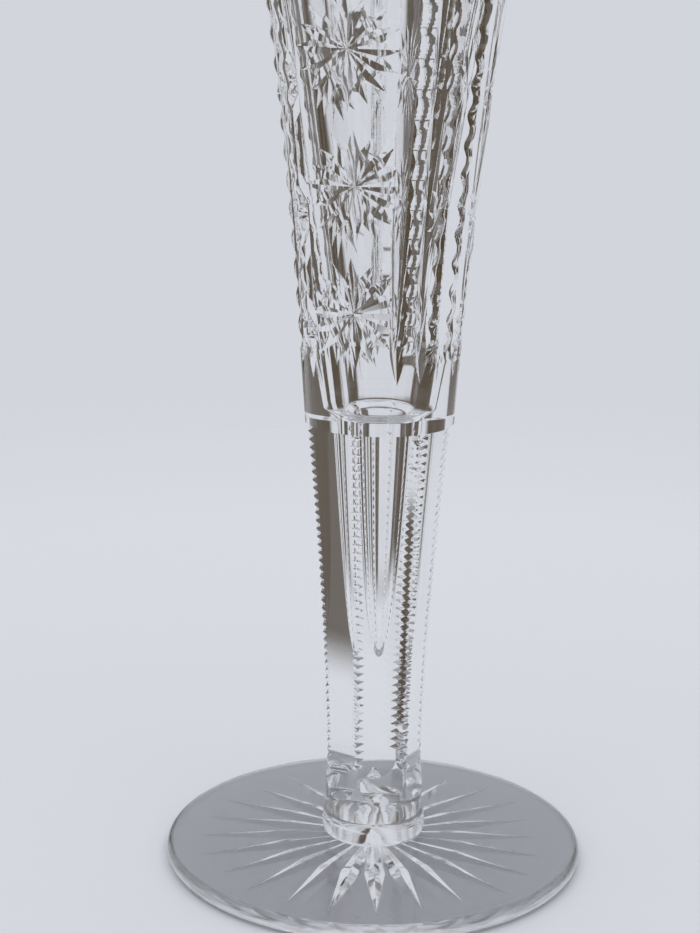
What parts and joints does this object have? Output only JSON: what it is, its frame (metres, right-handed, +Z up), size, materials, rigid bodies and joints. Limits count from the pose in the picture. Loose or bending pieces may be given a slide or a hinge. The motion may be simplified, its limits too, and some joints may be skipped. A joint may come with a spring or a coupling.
{
  "type": "trumpet vase",
  "caption": "Tall clear cut glass vase with a round foot rayed underneath, a fluted stem and a flared bowl cut with stars and long notched mitres.",
  "frame": {"origin": "on the floor, under the middle of the round foot", "axes": "+Z up along the vase's axis, out of its mouth; the pictured side faces -Y"},
  "size_m": [0.127, 0.127, 0.356],
  "materials": {
    "clear_glass": "clear, colourless, polished, with bright cut facets"
  },
  "bodies": {
    "root": {"foot": "clear_glass", "stem_collar": "clear_glass", "trumpet_body": "clear_glass"}
  },
  "joints": []
}
